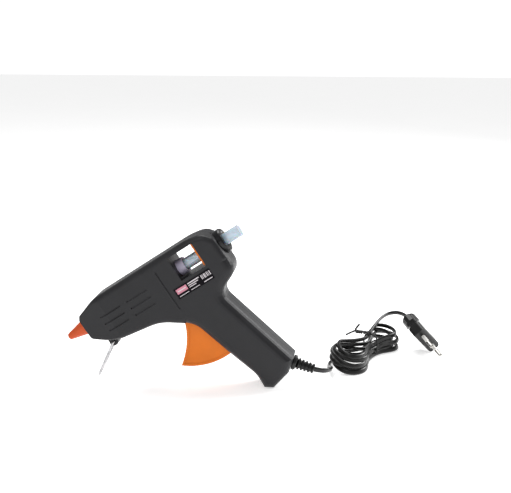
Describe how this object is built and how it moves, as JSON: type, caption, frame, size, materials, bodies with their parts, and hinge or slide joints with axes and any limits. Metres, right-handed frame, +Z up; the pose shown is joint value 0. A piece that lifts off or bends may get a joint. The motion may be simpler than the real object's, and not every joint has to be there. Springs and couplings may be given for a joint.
{
  "type": "hot melt glue gun",
  "caption": "Trigger-fed hot melt glue gun with a loaded stick, see-through feed window, folding wire stand and a flat mains cord folded into a tied hank.",
  "frame": {"origin": "middle of the standing gun without its cord, on the table it stands on", "axes": "+Z up, nozzle towards -X, grip and cord outlet towards +X, left side of the housing towards -Y; the seam of the housing is the plane y = 0"},
  "size_m": [0.3647, 0.1595, 0.1537],
  "materials": {
    "housing": "textured charcoal nylon",
    "orange_plastic": "satin orange",
    "nozzle_silicone": "matt orange-red silicone",
    "sleeve_silicone": "soft lilac-grey silicone",
    "black_plastic": "glossy black",
    "cord_pvc": "satin black PVC",
    "glue": "translucent hot-melt glue",
    "steel": "bright zinc-plated",
    "brass": "turned",
    "aluminium": "die-cast",
    "ceramic": "fired, unglazed",
    "label": "glossy black film",
    "pin_sleeve": "off-white",
    "lead_insulation": "white glass-fibre sleeving"
  },
  "bodies": {
    "gun": {"housing_left": "housing", "housing_right": "housing", "housing_screw_1": "steel", "housing_screw_2": "steel", "housing_screw_3": "steel", "housing_screw_4": "steel", "housing_screw_5": "steel", "housing_screw_6": "steel", "nozzle": "brass", "nozzle_cover": "nozzle_silicone", "heating_chamber": "aluminium", "heater_element": "ceramic", "heater_contact_upper": "brass", "heater_contact_lower": "brass", "heater_clamp": "steel", "feed_sleeve": "sleeve_silicone", "sleeve_clip": "steel", "rear_collar": "black_plastic", "trigger_pin": "steel", "return_spring": "steel", "rating_label": "label", "strain_relief": "cord_pvc", "cord_inner": "cord_pvc", "cord_clamp": "pin_sleeve", "cord_clamp_screw_1": "steel", "cord_clamp_screw_2": "steel", "heater_lead_left": "lead_insulation", "heater_lead_right": "lead_insulation", "cord_lead": "cord_pvc", "cord_hank": "cord_pvc", "cord_tail": "cord_pvc", "cord_tie": "cord_pvc", "plug_body": "cord_pvc", "plug_pin_1": "steel", "plug_pin_2": "steel", "plug_sleeve_1": "pin_sleeve", "plug_sleeve_2": "pin_sleeve"},
    "trigger": {"trigger": "orange_plastic", "link_pin_front": "steel"},
    "carriage": {"feed_carriage": "orange_plastic", "feed_link": "orange_plastic", "link_pin_rear": "steel"},
    "gripper": {"stick_gripper": "black_plastic"},
    "stick": {"glue_stick": "glue"},
    "stand": {"stand_wire": "steel"}
  },
  "joints": [
    {"name": "trigger_pull", "type": "hinge", "parent": "gun", "child": "trigger", "pos_m": [-0.00139, 0, 0.0825], "axis": [0, -1, 0], "range_deg": [0, 22], "stiffness_Nm_per_rad": 0.25, "springref_deg": -20.05},
    {"name": "carriage_feed", "type": "slide", "parent": "gun", "child": "carriage", "axis": [-0.8329, 0, -0.5534], "range_m": [0, 0.00575], "deforming": ["return_spring"]},
    {"name": "stick_feed", "type": "slide", "parent": "gun", "child": "stick", "axis": [-0.8329, 0, -0.5534], "range_m": [0, 0.00575]},
    {"name": "gripper_tilt", "type": "hinge", "parent": "carriage", "child": "gripper", "pos_m": [0.02883, 0, 0.12719], "axis": [0, 1, 0], "range_deg": [0, 4.2]},
    {"name": "stand_fold", "type": "hinge", "parent": "gun", "child": "stand", "pos_m": [-0.07304, 0, 0.03766], "axis": [0, -1, 0], "range_deg": [0, 120]}
  ],
  "couplings": [
    {"joint": "carriage_feed", "follows": "trigger_pull", "m_per_rad": 0.01471},
    {"joint": "stick_feed", "follows": "trigger_pull", "m_per_rad": 0.01471},
    {"joint": "gripper_tilt", "follows": "trigger_pull", "ratio": 0.1818}
  ]
}
